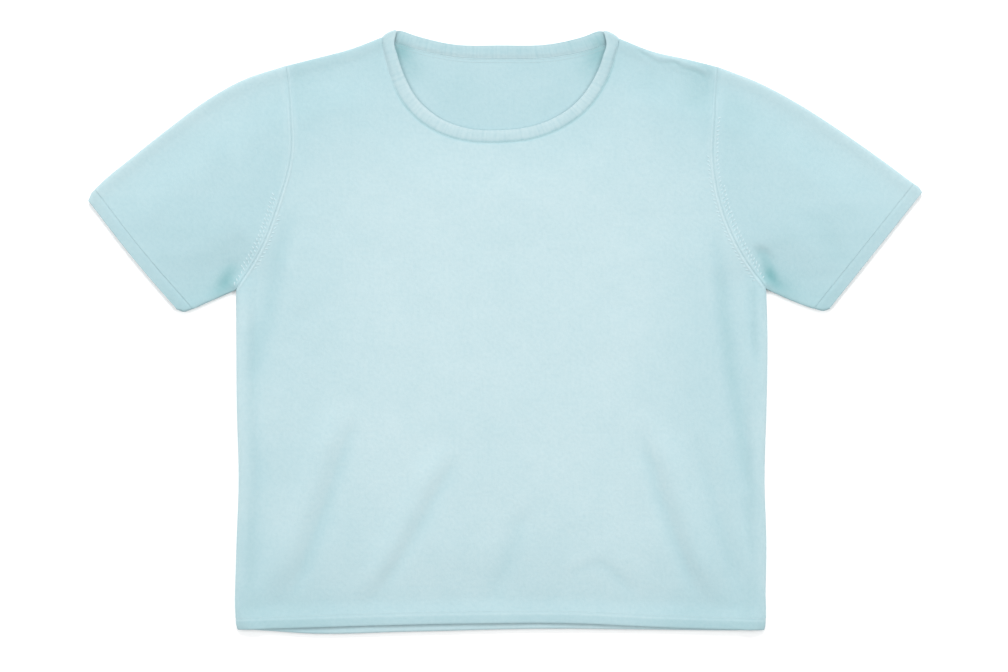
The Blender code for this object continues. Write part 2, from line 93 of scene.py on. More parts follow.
cloth = {
    "wall": 1.2,
    "bandWall": 1.8,
    "bandGrows": 3,  # a band is as thick as bandWall this far from its seam
    "rest": 2.35,  # middle of the upper layer where it lies on the lower one
    "least": {"wall": 2.15, "bandWall": 3.1},
    "turnMiddle": 2.4,  # middle of a folded edge
    "turnSplit": 0.38,  # front and back part by this much either side of it
    "lowerReach": 1.6,
    "rolls": {  # crest from the edge, its height, settled by
        "side": (8.5, 5.3, 25),
        "under": (1.8, 3.1, 12),
        "over": (2.6, 3.7, 15),
    },
    "fullness": 3.0,
    "flatNear": {"neck": (60, 0.3), "hem": (80, 0.1), "cuff": (60, 0.3)},  # reach, share of the fullness left
    "swells": [(34, 3, 0.22), (12, 4, 0.1), (5, 5, 0.035)],  # size, random seed, height of the soft unevenness
    "foldsAtHem": 0.4,  # share of a fold's height left there
    "hemLift": {"upper": 2.9, "lower": 2.7, "reach": 26.0},
    "neckGroove": {"depth": 0.45, "width": 1.4},
    "troughRoom": 0.7,  # left between the layers over a trough of the lower one
    "seamRim": 0.08,  # radius of an edge in a seam
    "freeRim": 0.55,
    "hemRim": 1.7,
    "fades": {  # how far from the edge each starts, and over what distance it grows
        "fullness": (16, 40),
        "folds": (3, 14),
        "foldsAtHem": (9, 14),
        "creases": (0, 4),
        "swells": (0, 12),
        "ridges": (1, 6),
        "hemLift": (0, 20),
        "neckGroove": (0, 6),
        "troughs": (14, 30),
        "troughsAtNeck": (0, 30),
    },
}

# Ridges along the armhole seams: offset to the body, half width, height, and where on the seam from its foot
seamRidges = [
    (1.7, 0.9, 0.7, 0.0, 1.0),
    (-1.7, 0.9, 0.6, 0.0, 0.85),
    (4.2, 1.4, 0.3, 0.62, 1.0),
    (-5.0, 2.5, 0.25, 0.5, 1.0),
]

# Folds of the upper layer: top x, y, foot x, y, sideways bow, half width, height
folds = [
    (-203, 125, -240, -60, 0, 9, -1.3),
    (-228, -95, -241, -262, -4, 9, -0.9),
    (-191, 100, -196, 10, 3, 10, 0.6),
    (-156, -60, -231, -268, 4, 13, 2.3),
    (-140, -70, -207, -264, 4, 8, -1.4),
    (-56, -100, -142, -264, 3, 12, 1.9),
    (-40, -105, -127, -262, 3, 7.5, -1.2),
    (20, -160, -14, -262, 3, 9, -0.9),
    (148, -80, 206, -268, -5, 13, 2.4),
    (127, -85, 188, -263, -4, 8, -1.6),
    (180, -90, 229, -262, -4, 7, -0.6),
    (196, -75, 239, -250, -4, 7, 1.1),
    (84, -205, 126, -252, 0, 9, -0.3),
    (112, -208, 142, -246, 0, 8, 0.3),
    (198, 110, 243, -200, -4, 8, -1.8),
    (228, -150, 238, -268, 0, 7, -0.9),
    (231, 66, 239, -40, 0, 5.5, -1.3),
    (-236, 45, -236, -150, -3, 8, -1.1),
    (180, 95, 190, 10, 0, 9, 0.4),
    (190, 262, 178, 205, 0, 12, -0.6),
    (-255, 70, -276, 28, 0, 7.5, -2.5),
    (-251, 185, -251, 80, -3, 11, 0.9),
    (241, 84, 261, 36, 0, 6, -3.1),
    (292, 118, 324, 60, 0, 11, -0.5),
]

# Creases along a path: half width, height, then its points
creases = [
    (1.3, -0.7, [
        (129.3, 265.5), (137.1, 260.6), (145, 255.8), (155.3, 255.2), (162, 255.8),
        (167.7, 250.9), (178.8, 248), (188.6, 243.2), (192, 239),
    ]),
    (3, 0.5, [(134, 270), (146, 262), (160, 260), (174, 255), (190, 248)]),
    (5.5, 0.22, [(62, -221), (75, -214), (91, -213), (112, -226), (129, -245)]),
    (5, -0.22, [(66, -229), (80, -222), (94, -222), (108, -234), (118, -246)]),
]

# Soft troughs of the under layer, which open downwards: the same columns
backFolds = [
    (-120, 150, -60, -120, 14, 16, 1.1),
    (70, 60, 150, -200, -10, 15, 1.2),
    (-175, -20, -140, -230, 6, 13, 0.9),
    (10, -90, 40, -240, -5, 12, 0.8),
    (150, 150, 110, 20, 6, 13, 0.9),
    (-285, 150, -300, 70, 0, 12, 0.8),
    (290, 150, 315, 70, 0, 12, 0.8),
]


def curveThrough(points, steps=16):
    known = np.array(points, float)
    gaps = np.hypot(*np.diff(known[:, :2], axis=0).T)[:, None]
    slopes = np.diff(known, axis=0) / gaps
    inner = (slopes[:-1] * gaps[1:] + slopes[1:] * gaps[:-1]) / (gaps[:-1] + gaps[1:])
    tangents = np.vstack([slopes[:1], inner, slopes[-1:]])
    t = np.linspace(0, 1, steps, endpoint=False)[:, None]
    parts = []
    for start, end, leave, arrive, gap in zip(known, known[1:], tangents, tangents[1:], gaps):
        ends = (1 + 2 * t) * (1 - t) ** 2 * start + t**2 * (3 - 2 * t) * end
        parts.append(ends + gap * (t * (1 - t) ** 2 * leave - t**2 * (1 - t) * arrive))
    return np.vstack(parts + [known[-1:]])


def lengthsOf(path):
    return np.concatenate([[0.0], np.cumsum(np.hypot(*np.diff(path[:, :2], axis=0).T))])


def alongPath(path, share):
    lengths = lengthsOf(path)
    wanted = np.asarray(share, float) * lengths[-1]
    return np.stack([np.interp(wanted, lengths, column) for column in path.T], axis=-1)


def movedSideways(path, distance):  # to the left of its direction
    direction = np.gradient(path, axis=0)
    direction /= np.hypot(*direction.T)[:, None]
    return path + distance * np.stack([-direction[:, 1], direction[:, 0]], axis=-1)


def lengthened(path, reach=8.0):
    first, last = path[0] - path[1], path[-1] - path[-2]
    start = path[0] + reach * first / np.hypot(*first)
    end = path[-1] + reach * last / np.hypot(*last)
    return np.vstack([start, path, end])


def crossed(a, b):
    return a[..., 0] * b[..., 1] - a[..., 1] * b[..., 0]


def crossingOf(first, second):
    runA, runB = np.diff(first, axis=0)[:, None], np.diff(second, axis=0)[None]
    offset = second[None, :-1] - first[:-1, None]
    turn = crossed(runA, runB)
    turn = np.where(np.abs(turn) < 1e-12, 1e-12, turn)
    shareA, shareB = crossed(offset, runB) / turn, crossed(offset, runA) / turn
    i, j = np.argwhere((shareA >= 0) & (shareA <= 1) & (shareB >= 0) & (shareB <= 1))[0]
    atA = lengthsOf(first)[i] + shareA[i, j] * np.hypot(*runA[i, 0])
    return atA, lengthsOf(second)[j] + shareB[i, j] * np.hypot(*runB[0, j])


def trimmedLoop(*curves):  # each curve is cut where it crosses the next and the one before
    curves = [lengthened(curve) for curve in curves]
    meets = [crossingOf(a, b) for a, b in zip(curves, curves[1:] + curves[:1])]
    pieces = []
    for k, curve in enumerate(curves):
        start, end = meets[k - 1][1], meets[k][0]
        lengths = lengthsOf(curve)
        inside = curve[(lengths > start + 0.05) & (lengths < end - 0.05)]
        ends = alongPath(curve, np.array([start, end]) / lengths[-1])
        pieces.append(np.vstack([ends[:1], inside, ends[1:]]))
    return pieces


def joinedSide(*pieces, shares=()):
    knots = [0.0, *shares, 1.0]

    def at(share):
        share = np.asarray(share, float)
        result = None
        for piece, start, end in zip(pieces, knots, knots[1:]):
            points = alongPath(piece, np.clip((share - start) / (end - start), 0, 1))
            result = points if result is None else np.where((share > start)[..., None], points, result)
        return result

    return at


def filledPatch(low, high, first, last, u, v):
    across, up = u[..., None], v[..., None]
    ruled = (1 - up) * low(u) + up * high(u) + (1 - across) * first(v) + across * last(v)
    foot = (1 - across) * low(0.0) + across * low(1.0)
    head = (1 - across) * high(0.0) + across * high(1.0)
    return ruled - (1 - up) * foot - up * head


def smooth(t):
    t = np.clip(t, 0, 1)
    return t * t * (3 - 2 * t)


def bell(t):
    return np.exp(-(t**2))


def distanceTo(plan, paths):
    flat = plan.reshape(-1, 2)
    nearest = np.full(len(flat), np.inf)
    for path in paths:
        path = alongPath(path, np.linspace(0, 1, 41)) if len(path) > 60 else path  # a long one is thinned
        run = np.diff(path, axis=0)
        offset = flat[:, None, :] - path[None, :-1]
        share = np.clip((offset * run).sum(-1) / (run * run).sum(-1), 0, 1)
        gap = np.hypot(*np.moveaxis(offset - share[..., None] * run, -1, 0))
        nearest = np.minimum(nearest, gap.min(axis=1))
    return nearest.reshape(plan.shape[:-1])


def unevenness(plan, size, seed):  # soft random swell, from -1 to 1
    field = np.random.default_rng(seed).uniform(-1, 1, (80, 80))
    column, row = (np.clip(plan[..., k] / size + 40, 0, 78.99) for k in (0, 1))
    i, j = column.astype(int), row.astype(int)
    fi, fj = smooth(column - i), smooth(row - j)
    near = field[i, j] * (1 - fj) + field[i, j + 1] * fj
    far = field[i + 1, j] * (1 - fj) + field[i + 1, j + 1] * fj
    return near * (1 - fi) + far * fi


# The edges where the two layers turn into each other, half a wall inside the outline
turnedIn = {"side": -1, "underarm": -1, "overarm": 1, "shoulder": -1}  # on the right, and the other way on the left
turnedEdges = {
    kind: {
        name + hand: movedSideways(curveThrough(outline[name + hand]), turn * sign * cloth[kind] / 2)
        for name, sign in turnedIn.items()
        for hand, turn in (("Right", 1), ("Left", -1))
    }
    for kind in ("wall", "bandWall")
}
armholes = {"Right": curveThrough(seams["armholeRight"]), "Left": curveThrough(seams["armholeLeft"])}
hemFrontEdge, hemBackEdge = curveThrough(seams["hemFront"]), curveThrough(seams["hemBack"])
cuffEdges = {"Right": curveThrough(seams["cuffRight"]), "Left": curveThrough(seams["cuffLeft"])}

# Neckband: sections of its seam x, y, free edge x, y, the height of its middle and its bow along the neck, mm
neck = {
    "front": [
        (-115.6, 270.5, -104.4, 275, 3.85, 0.6), (-113.2, 259, -101.6, 262.5, 3.7, 0),
        (-105.6, 235, -93.9, 240.5, 3.05, 0), (-89.5, 209, -80.5, 218.5, 2.8, 0),
        (-65.3, 190.6, -59, 201.6, 2.75, 0), (-35, 181.2, -32, 192.8, 2.75, 0),
        (-4, 180, -4, 191.6, 2.75, 0), (27.5, 183.7, 24, 194.9, 2.75, 0),
        (56, 194.6, 50, 204.6, 2.75, 0), (80, 213.2, 70.8, 220.6, 2.8, 0),
        (96.6, 238, 85.6, 242, 3.05, 0), (105.2, 261, 93.6, 262.5, 3.7, 0),
        (107.6, 270.9, 96.4, 274.6, 3.85, 0.6),
    ],
    "back": [
        (-104.5, 275.6, -98, 285.9, 0.9, 0.3), (-88, 270.2, -84.5, 281.4, 0.9, 0),
        (-50.2, 261.8, -49, 273.2, 0.9, 0), (-4, 259.8, -4, 272.2, 0.9, 0),
        (48.4, 261.5, 44.5, 273.6, 0.9, 0), (84, 269.2, 77, 281.2, 0.9, 0),
        (98, 274.3, 88.8, 285.6, 0.9, 0.3),
    ],
    "tipRight": (-116.4, 279.8, -103.4, 287),
    "tipLeft": (109.4, 278.2, 95.2, 286.4),
    "turnRadius": 1.5,
    "turnBow": 1.1,
    "turnSections": 13,
    "tuckedBy": 0.4,  # how far the under half of the turn goes in, as a share of the upper half
    "levelBy": 12.0,  # from the neck points
    "levelAcross": 0.35,  # share of the band's width
    "bulge": 0.25,
    "width": 11,
    "acrossSteps": (0, 0.006, 0.014, 0.05, 0.1, 0.17, 0.25, 0.36, 0.48, 0.6, 0.72, 0.82, 0.89, 0.94, 0.97, 0.99, 1),
    "flat": (0.53, 0.0118),  # all round, in metres
}


def neckTurn(tip):  # the band folds over at a neck point, from the upper layer down
    seam, edge = np.array(tip[:2]), np.array(tip[2:])
    out = np.array([-(edge - seam)[1], (edge - seam)[0]]) / np.hypot(*(edge - seam))
    out *= math.copysign(1, out[1])
    sections = []
    for turn in np.linspace(0, math.pi, neck["turnSections"]):
        tucked = 1 if turn < math.pi / 2 else neck["tuckedBy"]
        reach = neck["turnRadius"] * (math.sin(turn) - 1) * tucked - cloth["bandWall"] / 2
        height = cloth["turnMiddle"] + neck["turnRadius"] * math.cos(turn)
        sections.append([*(seam + reach * out), *(edge + reach * out), height, neck["turnBow"] * out[1]])
    return sections


neckTurnRight, neckTurnLeft = neckTurn(neck["tipRight"]), neckTurn(neck["tipLeft"])
neckFront = curveThrough([neckTurnRight[0], *neck["front"], neckTurnLeft[0]], steps=8)
neckBack = curveThrough([neckTurnRight[-1], *neck["back"], neckTurnLeft[-1]], steps=10)
neckSeamFront = np.vstack([neck["tipRight"][:2], neckFront[:, :2], neck["tipLeft"][:2]])
neckSeamBack = np.vstack([neck["tipRight"][:2], neckBack[:, :2], neck["tipLeft"][:2]])


def foldRelief(plan, rows):
    x, y = plan[..., 0], plan[..., 1]
    total = np.zeros(x.shape)
    faded = 0.25  # share of a fold's length at each end
    for topX, topY, footX, footY, bow, halfWidth, height in rows:
        drop, drift = topY - footY, footX - topX
        share = (topY - y) / drop
        middle = topX + drift * share + bow * np.clip(4 * share * (1 - share), 0, None)
        across = (x - middle) / (math.hypot(drop, drift) / drop * halfWidth)
        total += height * smooth(share / faded) * smooth((1 - share) / faded) * bell(across)
    return total


def creaseRelief(plan):
    return sum(
        height * bell(distanceTo(plan, [curveThrough(points, 4)]) / halfWidth)
        for halfWidth, height, points in creases
    )


def seamRelief(plan):
    total = np.zeros(plan.shape[:-1])
    shares = np.linspace(0, 1, 61)
    faded = 0.03  # share of the seam at each end of a ridge
    for hand, toBody in (("Right", 1), ("Left", -1)):
        path = alongPath(armholes[hand], shares)
        across = toBody * (plan[..., 0] - np.interp(plan[..., 1], *path[:, ::-1].T))
        slope = np.interp(plan[..., 1], path[:, 1], np.gradient(path[:, 0], path[:, 1]))
        across /= np.sqrt(1 + slope**2)
        share = np.interp(plan[..., 1], path[:, 1], shares, left=-1, right=1)
        for offset, halfWidth, height, start, end in seamRidges:
            strength = smooth((share - start + faded) / (2 * faded)) * smooth((end + faded - share) / (2 * faded))
            total += height * strength * bell((across - offset) / halfWidth)
    return total


def edgeDepths(plan, kind="wall"):
    groups = {"side": ("side",), "under": ("underarm",), "over": ("overarm", "shoulder")}
    return {
        group: distanceTo(plan, [path for name, path in turnedEdges[kind].items() if name.startswith(names)])
        for group, names in groups.items()
    }


def kindOf(wall):
    return "wall" if np.max(wall) <= cloth["wall"] else "bandWall"


def fadedIn(name, distance):
    start, grown = cloth["fades"][name]
    return smooth((distance - start) / grown)


def heightAboveHem(plan, hemEdge):
    return plan[..., 1] - np.interp(plan[..., 0], *hemEdge.T)


def hemLift(layer, fromHem, depth):
    lift = cloth["hemLift"]
    return lift[layer] * (1 - smooth(fromHem / lift["reach"])) * fadedIn("hemLift", depth)


def upperHeight(plan, wall=cloth["wall"], split=cloth["turnSplit"]):
    depths = edgeDepths(plan, kindOf(wall))
    depth = np.minimum.reduce(list(depths.values()))
    nearness = {group: 1 / (distance + 0.3) ** 4 for group, distance in depths.items()}  # blends rolls that meet
    reach, crest, settled = (
        sum(nearness[group] * cloth["rolls"][group][k] for group in depths) / sum(nearness.values()) for k in range(3)
    )
    fromHem = heightAboveHem(plan, hemFrontEdge)
    fromNeck = distanceTo(plan, [neckSeamFront])
    fromCuff = distanceTo(plan, list(cuffEdges.values()))
    edge = cloth["turnMiddle"] + split
    turn = np.sqrt(1 - (1 - np.clip(depth / reach, 0, 1)) ** 2)
    settle = smooth((depth - reach) / (settled - reach))
    height = edge + (crest - edge) * turn - (crest - cloth["rest"]) * settle
    full = fadedIn("fullness", depth)
    for name, distance in (("neck", fromNeck), ("hem", fromHem), ("cuff", fromCuff)):
        flatReach, left = cloth["flatNear"][name]
        full = full * (left + (1 - left) * smooth(distance / flatReach))
    atHem = cloth["foldsAtHem"]
    relief = foldRelief(plan, folds) * fadedIn("folds", depth) * (atHem + (1 - atHem) * fadedIn("foldsAtHem", fromHem))
    relief += creaseRelief(plan) * fadedIn("creases", depth)
    swell = sum(amount * unevenness(plan, size, seed) for size, seed, amount in cloth["swells"])
    height += cloth["fullness"] * full + relief + swell * fadedIn("swells", depth)
    height += seamRelief(plan) * fadedIn("ridges", depth)
    height += hemLift("upper", fromHem, depth)
    groove = cloth["neckGroove"]
    height -= groove["depth"] * bell(fromNeck / groove["width"]) * fadedIn("neckGroove", depth)
    # The upper layer never sinks below its least height, and nears it softly
    least = np.interp(wall, (cloth["wall"], cloth["bandWall"]), (cloth["least"]["wall"], cloth["least"]["bandWall"]))
    softness = 0.3
    soft = least + softness * np.log1p(np.exp(np.minimum((height - least) / softness, 60)))
    soft = np.where(height - least > 15, height, soft)
    return np.where(depth < 0.5, height, soft)


def lowerHeight(plan, wall=cloth["wall"], split=cloth["turnSplit"]):
    depth = np.minimum.reduce(list(edgeDepths(plan, kindOf(wall)).values()))
    turn = np.sqrt(1 - (1 - np.clip(depth / cloth["lowerReach"], 0, 1)) ** 2)
    edge = cloth["turnMiddle"] - split
    height = edge + (wall / 2 - edge) * turn
    height += hemLift("lower", heightAboveHem(plan, hemBackEdge), depth)
    if kindOf(wall) == "bandWall":
        return height
    room = upperHeight(plan, wall, split) - wall / 2 - wall - cloth["troughRoom"]
    trough = np.clip(foldRelief(plan, backFolds) * fadedIn("troughs", depth), 0, None)
    trough = np.minimum(trough, np.clip(room, 0, None))
    return height + trough * fadedIn("troughsAtNeck", distanceTo(plan, [neckSeamFront]))


dyeAndShading = {  # tones of the cloth: its dye varies at random, and painted shade and painted highlights make it palest down its middle; 0 is pale and 1 is deep
    # Painted shade: deeper towards the sides, the foot, just over the hem and at the shoulders
    "sides": {"from": 100, "width": 130, "deeper": 0.6},
    "foot": {"from": 110, "width": 150, "deeper": 0.33},
    "overHem": {"from": 235, "width": 30, "deeper": 0.4},
    "shoulders": {"from": 120, "width": 120, "deeper": 0.75},
    # Painted highlights along the rolled side edges and the tops of the sleeves
    "sideEdge": {"reach": 13, "paler": 0.4},
    "sleeveTop": {"reach": 16, "paler": 0.7, "from": 190, "width": 40},
    # Painted shade near the underarm edges, over the whole sleeves and on the inside of the back
    "underSleeve": {"reach": 22, "deeper": 0.7, "from": 235},
    "sleeve": 0.95,
    "inside": 0.95,
    "uneven": [(45, 11, 0.1), (18, 13, 0.09), (7, 12, 0.08)],  # size, random seed, amount
    # Painted shadow along the front neck seam; painted shade on the back of the neckband, paler near its seam
    "neckSeam": {"width": 1.5, "deeper": 1.7, "within": 112, "fade": 16},
    "neckband": {"front": 0.35, "back": 1.05, "backSeam": -0.7, "backSeamReach": 0.6},
    "neckUneven": (9, 17, 0.2),
    "neckHighlight": {"at": 0.85, "width": 0.1, "paler": 0.4},  # as shares of the band's width
    # The front hem band is deeper, and the back hem strip is painted lighter where it lies in shade
    "hem": {"upper": 0.3, "lower": -0.3},
    "hemLines": [(0, 0.7, -0.3), (2.2, 1.0, -0.6)],  # painted highlight lines along the hem seam: distance from the seam, width, deeper by (paler where negative)
    "troughs": 0.42,  # painted shade in the troughs: deeper by this for each mm of trough
    # Painted shade and painted highlights along the creases
    "creases": 0.6,
    "ridges": 0.85,  # painted highlight on the seam ridges: paler by this for each mm of seam ridge
    "hollows": [  # painted shade in hollows, and painted light where the amount is negative: x, y, radius, deeper by
        (-112, 262, 30, 0.35), (100, 262, 30, 0.45), (183, 234, 24, 0.2), (-263, 47, 9, 0.9), (251, 54, 7, 1.2),
        (265, 44, 12, 0.7), (236, -50, 90, 0.15), (-225, -60, 95, -0.2), (-204, -175, 28, -0.45),
        (-243, -246, 17, 0.3), (-246, -198, 18, 0.15), (-247, 18, 16, -0.4), (225, 203, 28, 0.55),
        (138, 240, 16, 0.3),
    ],
    # Painted shade in the hollows inside the neck
    "insideHollows": [(-99, 268, 11, 2.0), (-91, 251, 15, 0.8), (92, 267, 12, 1.6), (84, 253, 15, 0.9)],
    "behindTips": [(-99, 272, 7, 1.5), (91, 273, 8, 1.5)],  # painted shade on the back of the neckband
}


# Painted shade that grows beyond a given distance
def paintedShadeBeyond(name, distance):
    part = dyeAndShading[name]
    return part["deeper"] * smooth((distance - part["from"]) / part["width"])


def hollowAt(plan, x, y, radius):
    return np.exp(-(((plan[..., 0] - x) ** 2 + (plan[..., 1] - y) ** 2) / radius**2))


# Tone of a surface: the dye's random unevenness, with painted shade and painted highlights
def toneWithPaintedShade(plan, base=None, hollows=dyeAndShading["hollows"], onTopLayer=True):
    out, up = np.abs(plan[..., 0]), plan[..., 1]
    depths = edgeDepths(plan)
    if base is None:
        # Painted shade deeper towards the sides, the foot and the shoulders, and a painted highlight along the side
        # edges
        base = paintedShadeBeyond("sides", out)
        for name in ("foot", "overHem"):
            base += paintedShadeBeyond(name, -up)
        base += paintedShadeBeyond("shoulders", up)
        base -= dyeAndShading["sideEdge"]["paler"] * np.exp(-depths["side"] / dyeAndShading["sideEdge"]["reach"])
    tone = base
    for size, seed, amount in dyeAndShading["uneven"]:
        tone = tone + amount * unevenness(plan, size, seed)
    # Painted shade near the underarm edges, and a painted highlight along the tops of the sleeves
    under, top = dyeAndShading["underSleeve"], dyeAndShading["sleeveTop"]
    tone += under["deeper"] * np.exp(-depths["under"] / under["reach"]) * (out > under["from"])
    tone -= top["paler"] * np.exp(-depths["over"] / top["reach"]) * smooth((out - top["from"]) / top["width"])
    # Painted highlight on the seam ridges
    tone -= dyeAndShading["ridges"] * seamRelief(plan)
    if onTopLayer:
        # Painted shadow along the front neck seam
        line = dyeAndShading["neckSeam"]
        fromNeck = distanceTo(plan, [neckSeamFront])
        tone += line["deeper"] * bell(fromNeck / line["width"]) * smooth((line["within"] - out) / line["fade"])
        # Painted shade in the fold troughs, and painted shade and highlights along the creases
        tone += dyeAndShading["troughs"] * np.clip(-foldRelief(plan, folds), 0, None) - dyeAndShading["creases"] * creaseRelief(plan)
    # Painted shade in the hollows, and painted light where the amount is negative
    for *place, amount in hollows:
        tone += amount * hollowAt(plan, *place)
    return tone


def edgeDistances(middle, axis):  # along the grid, from its two ends
    step = np.linalg.norm(np.diff(middle, axis=axis), axis=-1)
    start = np.concatenate([np.zeros_like(np.take(step, [0], axis)), np.cumsum(step, axis=axis)], axis=axis)
    return start, np.take(start, [-1], axis) - start


def newObject(name, data):
    made = bpy.data.objects.new(name, data)
    bpy.context.scene.collection.objects.link(made)
    return made


# A closed sheet round its middle surface; rims are the radii of the first and last column, then row
def clothShell(name, middle, uv, wall, tone, rims, tube=False):
    rows, columns = middle.shape[:2]
    upward = np.roll(middle, -1, 0) - np.roll(middle, 1, 0) if tube else np.gradient(middle, axis=0)
    normal = np.cross(np.gradient(middle, axis=1), upward)
    normal /= np.linalg.norm(normal, axis=-1)[..., None]
    half = np.broadcast_to(wall / 2, (rows, columns)).copy()
    distances = edgeDistances(middle, 1) + (() if tube else edgeDistances(middle, 0))
    for distance, radius in zip(distances, rims):
        half = np.minimum(half, wall / 2 * np.sqrt(1 - (1 - np.clip(distance / radius, 0, 1)) ** 2))
    offset = normal * half[..., None]
    points = np.concatenate([(middle + offset).reshape(-1, 3), (middle - offset).reshape(-1, 3)])
    index = np.arange(rows * columns).reshape(rows, columns)
    below = index + rows * columns
    below[:, [0, -1]] = index[:, [0, -1]]
    if not tube:
        below[[0, -1]] = index[[0, -1]]
    faces = []
    for side, turned in ((index, 1), (below, -1)):
        side = np.vstack([side, side[:1]]) if tube else side
        quads = np.stack([side[:-1, :-1], side[:-1, 1:], side[1:, 1:], side[1:, :-1]], axis=-1).reshape(-1, 4)
        faces.append(quads[:, ::turned])
    faces = np.vstack(faces)
    corner = points[faces]
    volume = sum((corner[:, 0] * np.cross(corner[:, k], corner[:, k + 1])).sum() for k in (1, 2))
    faces = faces if volume > 0 else faces[:, ::-1]
    used, faces = np.unique(faces, return_inverse=True)
    faces = faces.reshape(-1, 4)
    uv = np.concatenate([uv.reshape(-1, 2)] * 2)[used]
    tone = np.concatenate([tone.ravel()] * 2)[used]
    mesh = bpy.data.meshes.new(name)
    mesh.from_pydata((points[used] * mm).tolist(), [], faces.tolist())
    layer = mesh.uv_layers.new(name="knit")
    layer.uv.foreach_set("vector", (uv[faces.ravel()] * mm).ravel())
    mesh.attributes.new("tone", "FLOAT", "POINT").data.foreach_set("value", tone)
    mesh.shade_smooth()
    return newObject(name, mesh)


def bandWallFrom(distance):  # a band starts as thick as the cloth that it is joined to
    return cloth["wall"] + (cloth["bandWall"] - cloth["wall"]) * smooth(distance / cloth["bandGrows"])


def lifted(plan, height):
    return np.concatenate([plan, height[..., None]], axis=-1)


# Materials

knit = {
    "toneColours": [  # tone, colour; the deep end paints shade and the pale end paints highlights
        (-1, (0.520, 0.624, 0.646)),
        (0, (0.448, 0.574, 0.602)),
        (1, (0.376, 0.524, 0.558)),
        (4, (0.165, 0.352, 0.372)),
    ],
    "between": (0.86, 0.92, 0.94),  # between the stitches, as a share of their colour
    "wale": 1.3,  # width of a column of stitches, mm
    "course": 0.95,  # height of a row
    "wobble": {"scale": 260, "amount": 0.7},
    "slope": 0.62,  # of a stitch's legs
    "stitchShare": 0.45,  # of the stitches in the texture, beside the yarn's own unevenness
    "unevenness": 300,
    "relief": 0.22,
    "bump": 0.7,
    "rungPitch": 3.0,  # of the neckband's ribs
    "roughness": 0.92,
    "sheen": 0.12,
    "sheenRoughness": 0.6,
    "sheenTint": (0.85, 0.96, 1.0),
}

yarn = {
    "colour": (0.50, 0.625, 0.65),
    "shade": (0.42, 0.55, 0.59),
    "inHem": 0.9,
    # Painted shade: the stitches inside the neck are a darker copy of the yarn
    "insideNeck": 0.72,
    "fibres": 1500,
    "relief": 0.1,
    "bump": 0.4,
    "roughness": 0.85,
}


def addNode(tree, kind, sockets, output=0, **settings):  # sockets by name or number, to a value or an output
    made = tree.nodes.new(kind)
    for name, value in settings.items():
        setattr(made, name, value)
    for name, value in sockets.items():
        if isinstance(value, bpy.types.NodeSocket):
            tree.links.new(value, made.inputs[name])
        else:
            made.inputs[name].default_value = value
    return made.outputs[output]


def mathsIn(tree):
    def maths(operation, *values):
        return addNode(tree, "ShaderNodeMath", dict(enumerate(values)), operation=operation)

    return maths


def colourRamp(tree, amount, stops):  # stops: position and colour
    made = tree.nodes.new("ShaderNodeValToRGB")
    steps = made.color_ramp.elements
    steps[0].position, steps[1].position = stops[0][0], stops[-1][0]
    for position, _ in stops[1:-1]:
        steps.new(position)
    for step, (_, colour) in zip(steps, stops):
        step.color = (*colour, 1)
    tree.links.new(amount, made.inputs[0])
    return made.outputs[0]


def plainMaterial(name, roughness, specular=0.2):
    material = bpy.data.materials.new(name)
    material.use_nodes = True
    surface = material.node_tree.nodes["Principled BSDF"]
    surface.inputs["Roughness"].default_value = roughness
    surface.inputs["Specular IOR Level"].default_value = specular
    return material, material.node_tree, surface


def textured(tree, surface, colour, height, style):
    tree.links.new(colour, surface.inputs["Base Color"])
    sockets = {"Strength": style["bump"], "Distance": style["relief"] * mm, "Height": height}
    tree.links.new(addNode(tree, "ShaderNodeBump", sockets), surface.inputs["Normal"])


def stitchRelief():  # V-shaped stitches in columns, from UV in metres
    tree = bpy.data.node_groups.new("stitchRelief", "ShaderNodeTree")
    tree.interface.new_socket("Vector", in_out="INPUT", socket_type="NodeSocketVector")
    tree.interface.new_socket("Height", in_out="OUTPUT", socket_type="NodeSocketFloat")
    entry, leave = tree.nodes.new("NodeGroupInput"), tree.nodes.new("NodeGroupOutput")
    place, maths = entry.outputs[0], mathsIn(tree)
    wobble = addNode(tree, "ShaderNodeTexNoise", {"Vector": place, "Scale": knit["wobble"]["scale"], "Detail": 1})
    drift = maths("MULTIPLY", maths("SUBTRACT", wobble, 0.5), knit["wobble"]["amount"])
    u, v = addNode(tree, "ShaderNodeSeparateXYZ", {0: place}).node.outputs[:2]
    wale = maths("ADD", maths("DIVIDE", u, knit["wale"] * mm), drift)
    leg = maths("ABSOLUTE", maths("SUBTRACT", maths("MULTIPLY", maths("FRACT", wale), 2), 1))
    course = maths("ADD", maths("DIVIDE", v, knit["course"] * mm), maths("MULTIPLY", leg, knit["slope"]))
    rounded = maths("SINE", maths("MULTIPLY", leg, math.pi))
    loops = maths("SINE", maths("MULTIPLY", maths("FRACT", course), math.pi))
    rounded, loops = (
        maths("POWER", maths("MAXIMUM", wave, 0.0), power) for wave, power in ((rounded, 0.8), (loops, 0.6))
    )
    tree.links.new(maths("MULTIPLY", rounded, loops), leave.inputs[0])
    return tree


